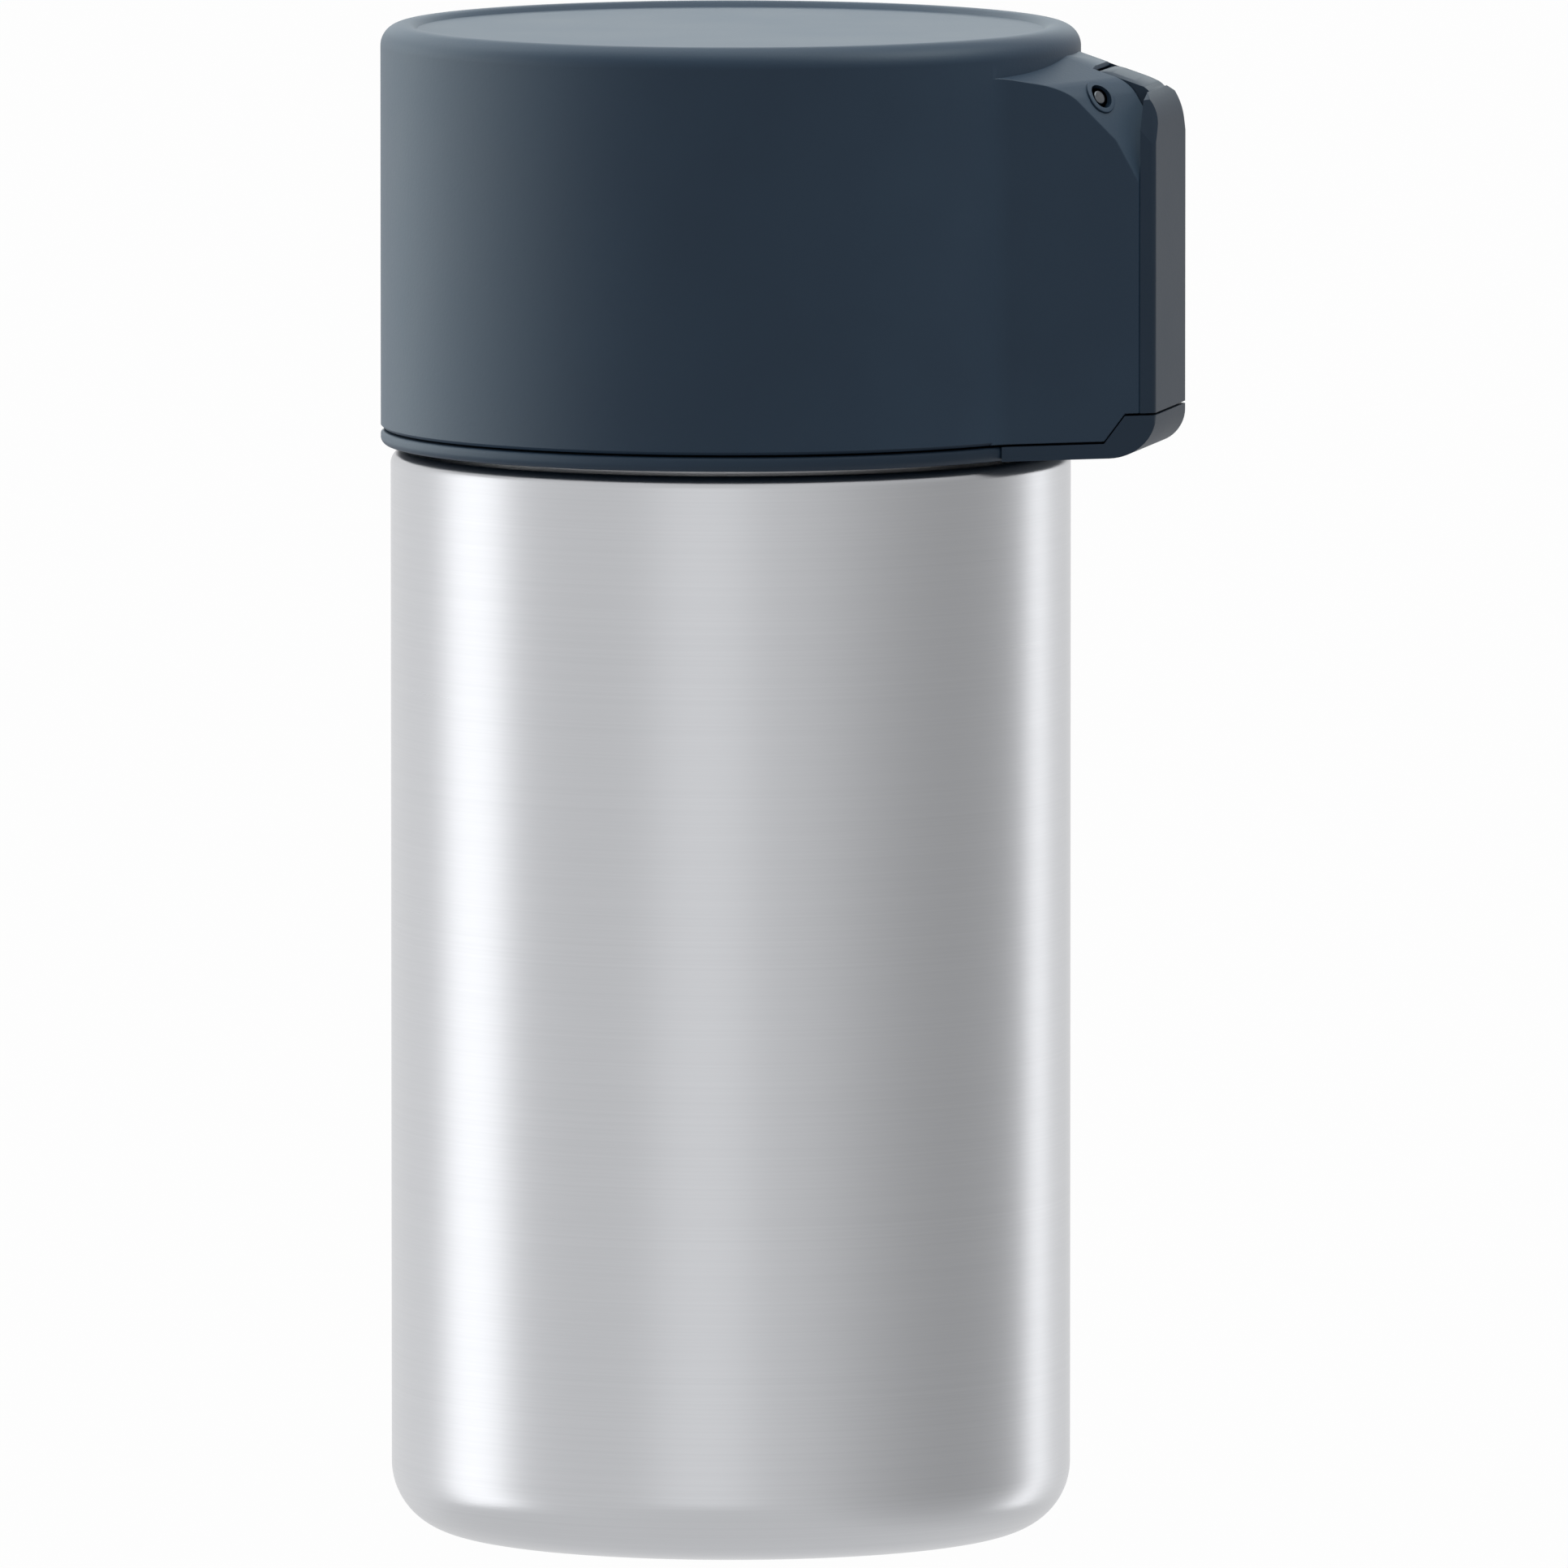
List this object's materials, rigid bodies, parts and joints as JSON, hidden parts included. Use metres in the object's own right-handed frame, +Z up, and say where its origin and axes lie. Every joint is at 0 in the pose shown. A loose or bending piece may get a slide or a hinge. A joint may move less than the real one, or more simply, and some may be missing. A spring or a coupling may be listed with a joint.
{
  "type": "travel canister",
  "caption": "Small cylindrical steel travel canister with a flip-top lid, a living hinge and a pinned lever latch in a side block.",
  "frame": {"origin": "centre of the can's flat base", "axes": "+Z up along the can's axis, +X towards the latch block, -X towards the lid's hinge"},
  "size_m": [0.0404, 0.0356, 0.0767],
  "materials": {
    "steel": "fine horizontal brushing",
    "slate": "fine matte moulded",
    "silicone": "satin",
    "pin_steel": "turned"
  },
  "bodies": {
    "canister": {"can": "steel", "collar": "slate", "neck_seal": "silicone", "living_hinge": "slate"},
    "lid": {"lid_shell": "slate", "lid_liner": "slate", "lid_gasket": "silicone", "latch_pin": "pin_steel"},
    "lever": {"latch_lever": "slate"}
  },
  "joints": [
    {"name": "lid_hinge", "type": "hinge", "parent": "canister", "child": "lid", "pos_m": [-0.01729, 0, 0.05614], "axis": [0, -1, 0], "range_deg": [0, 115]},
    {"name": "latch_swing", "type": "hinge", "parent": "lid", "child": "lever", "pos_m": [0.01965, 0, 0.0734], "axis": [0, -1, 0], "range_deg": [0, 60]}
  ]
}
